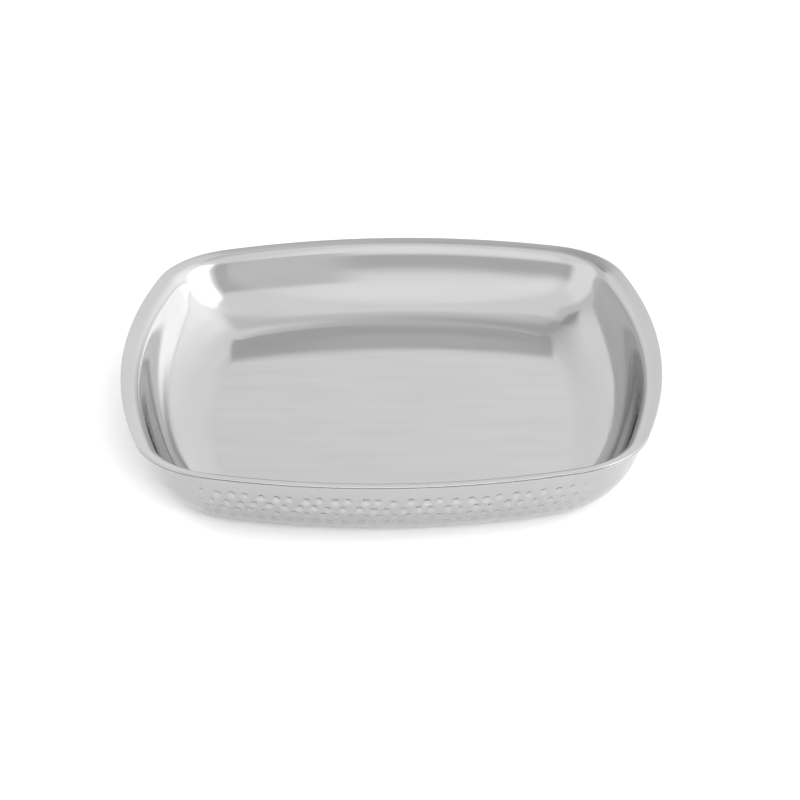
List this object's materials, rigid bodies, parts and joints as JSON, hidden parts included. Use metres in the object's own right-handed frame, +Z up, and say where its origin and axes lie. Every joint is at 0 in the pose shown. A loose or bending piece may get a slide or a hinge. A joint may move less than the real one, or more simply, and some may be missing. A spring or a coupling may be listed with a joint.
{
  "type": "serving tray",
  "caption": "Rounded-square serving tray for seafood on ice: a polished steel inner tray with a sloping rim, seam-welded over a hammered outer shell, hollow between, on a flat foot band.",
  "frame": {"origin": "middle of the base, on the plane that the foot band stands on", "axes": "+Z up out of the open top, X and Y across the sides; the picture is taken from -Y"},
  "size_m": [0.305, 0.305, 0.0475],
  "materials": {
    "polished_steel": "bright polished stainless steel with fine polishing lines",
    "hammered_steel": "hammered stainless steel, small staggered dimples in a satin polish",
    "weld_metal": "dull weld metal in the seam",
    "plug_steel": "satin turned stainless steel"
  },
  "bodies": {
    "root": {"inner_tray": "polished_steel", "outer_shell": "hammered_steel", "rim_weld": "weld_metal", "vent_plug": "plug_steel"}
  },
  "joints": []
}
